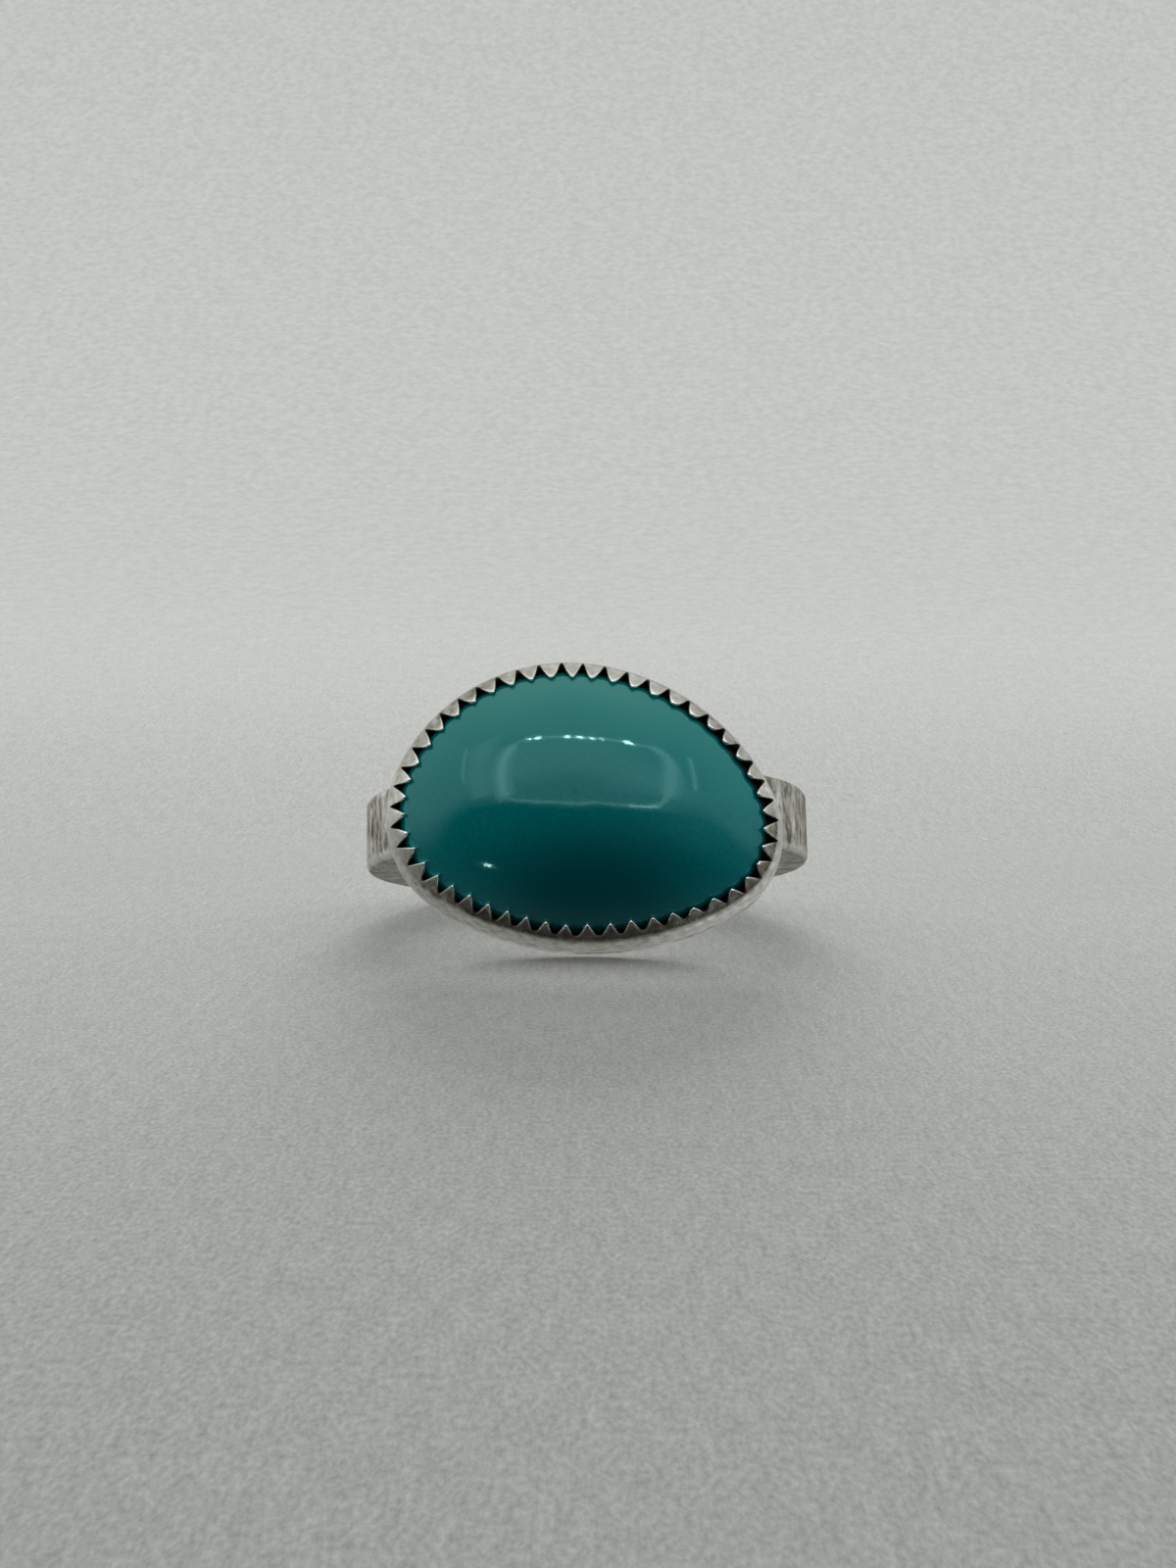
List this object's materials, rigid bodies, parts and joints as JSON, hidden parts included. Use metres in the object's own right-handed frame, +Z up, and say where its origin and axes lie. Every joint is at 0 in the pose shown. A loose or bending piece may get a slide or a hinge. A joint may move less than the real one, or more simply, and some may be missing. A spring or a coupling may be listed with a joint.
{
  "type": "turquoise ring",
  "caption": "Silver ring lying on its side: flat band, back plate and serrated bezel in one piece, holding an egg-shaped domed turquoise cabochon.",
  "frame": {"origin": "on the surface it lies on, below the middle of the ring", "axes": "+Z up; the ring lies on its side, its stone faces -Y and a little up, and the finger hole's axis leans 14 degrees from +Z towards +Y"},
  "size_m": [0.022, 0.027, 0.0133],
  "materials": {
    "silver": "oxidised silver, brushed and worn bright on the edges",
    "turquoise": "polished turquoise stone, plain with faint darker flecks"
  },
  "bodies": {
    "root": {"band_and_bezel": "silver", "stone": "turquoise"}
  },
  "joints": []
}
